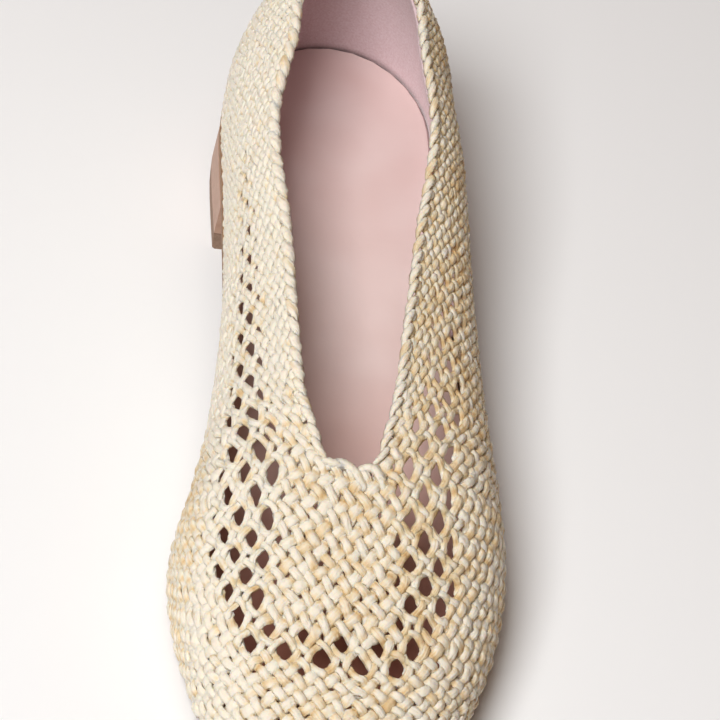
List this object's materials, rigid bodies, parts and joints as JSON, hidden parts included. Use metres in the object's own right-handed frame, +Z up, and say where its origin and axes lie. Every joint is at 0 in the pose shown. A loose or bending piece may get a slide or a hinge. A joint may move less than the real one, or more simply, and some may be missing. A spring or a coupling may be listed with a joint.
{
  "type": "ballet flat shoe",
  "caption": "Left raffia ballet flat: openwork woven upper with a U-shaped throat, leather insole, thin outsole and a low block heel, to be worn on the foot.",
  "frame": {"origin": "on the floor, under the middle of the box round the shoe", "axes": "toe towards -Y, heel towards +Y, inner (medial) side towards -X, +Z up"},
  "size_m": [0.0848, 0.2464, 0.0742],
  "materials": {
    "raffia": "flat woven raffia strands, dry and slightly glossy along the fibre",
    "pink_leather": "smooth matt dusty pink leather",
    "sole_leather": "plain tan sole leather, matt",
    "heel_wrap": "smooth pinkish tan leather wrap",
    "lift_rubber": "matt taupe rubber"
  },
  "bodies": {
    "root": {"upper": "raffia", "insole": "pink_leather", "outsole": "sole_leather", "heel_block": "heel_wrap", "heel_lift": "lift_rubber"}
  },
  "joints": []
}
